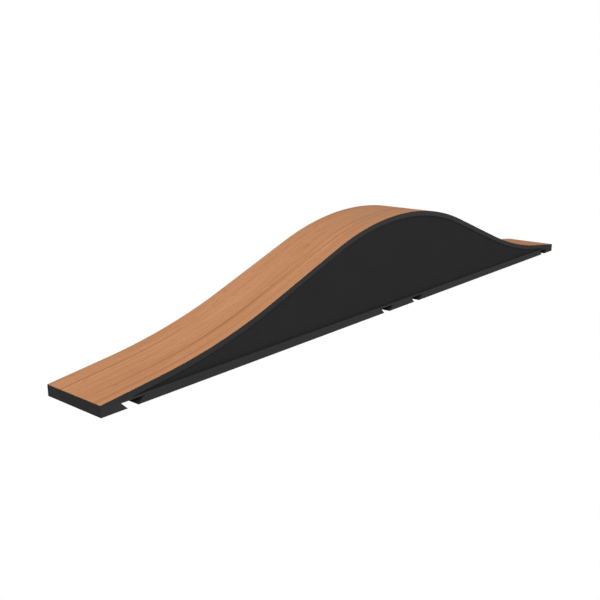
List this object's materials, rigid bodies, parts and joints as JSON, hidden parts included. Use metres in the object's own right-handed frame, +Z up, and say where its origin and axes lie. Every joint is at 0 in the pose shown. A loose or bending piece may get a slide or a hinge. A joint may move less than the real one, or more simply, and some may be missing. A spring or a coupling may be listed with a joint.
{
  "type": "folding wave ramp",
  "caption": "Long narrow ramp with a wood-faced wave-shaped deck on a black box body, dovetail grooves across its base, and a centre hinge that folds it base to base.",
  "frame": {"origin": "on the ground under the crest, at the middle of the length and the width", "axes": "+X along the ramp, +Y across it, +Z up"},
  "size_m": [2.4, 0.203, 0.3164],
  "materials": {
    "deck_laminate": "matt wood-faced laminate",
    "black_board": "matt black painted edge",
    "black_base": "matt black painted board",
    "black_panel": "flat black board",
    "black_bulkhead": "flat black board",
    "inner_timber": "planed softwood",
    "rib_board": "unfinished plywood",
    "pad_rubber": "matt rubber",
    "hinge_steel": "brushed",
    "zinc_screw": "zinc plated",
    "dowel_steel": "turned",
    "bush_brass": "turned"
  },
  "bodies": {
    "left_half": {"deck_laminate_left": "deck_laminate", "deck_board_left": "black_board", "base_board_left": "black_base", "side_panel_front_left": "black_panel", "side_panel_back_left": "black_panel", "crest_bulkhead_left": "black_bulkhead", "toe_wedge_left": "inner_timber", "deck_cleat_front_left": "inner_timber", "deck_cleat_back_left": "inner_timber", "base_cleat_front_left": "inner_timber", "base_cleat_back_left": "inner_timber", "base_screws_left": "zinc_screw", "foot_pads_left": "pad_rubber", "hinge_screws_left": "zinc_screw", "hinge_leaf_left": "hinge_steel", "rib_1_left": "rib_board", "rib_2_left": "rib_board", "rib_3_left": "rib_board", "rib_4_left": "rib_board", "hinge_pin": "hinge_steel", "locating_dowels": "dowel_steel"},
    "right_half": {"deck_laminate_right": "deck_laminate", "deck_board_right": "black_board", "base_board_right": "black_base", "side_panel_front_right": "black_panel", "side_panel_back_right": "black_panel", "crest_bulkhead_right": "black_bulkhead", "toe_wedge_right": "inner_timber", "deck_cleat_front_right": "inner_timber", "deck_cleat_back_right": "inner_timber", "base_cleat_front_right": "inner_timber", "base_cleat_back_right": "inner_timber", "base_screws_right": "zinc_screw", "foot_pads_right": "pad_rubber", "hinge_screws_right": "zinc_screw", "hinge_leaf_right": "hinge_steel", "rib_1_right": "rib_board", "rib_2_right": "rib_board", "rib_3_right": "rib_board", "rib_4_right": "rib_board", "dowel_bushes": "bush_brass"}
  },
  "joints": [
    {"name": "centre_fold", "type": "hinge", "parent": "left_half", "child": "right_half", "pos_m": [0, 0, 0.0029], "axis": [0, 1, 0], "range_deg": [0, 180]}
  ]
}
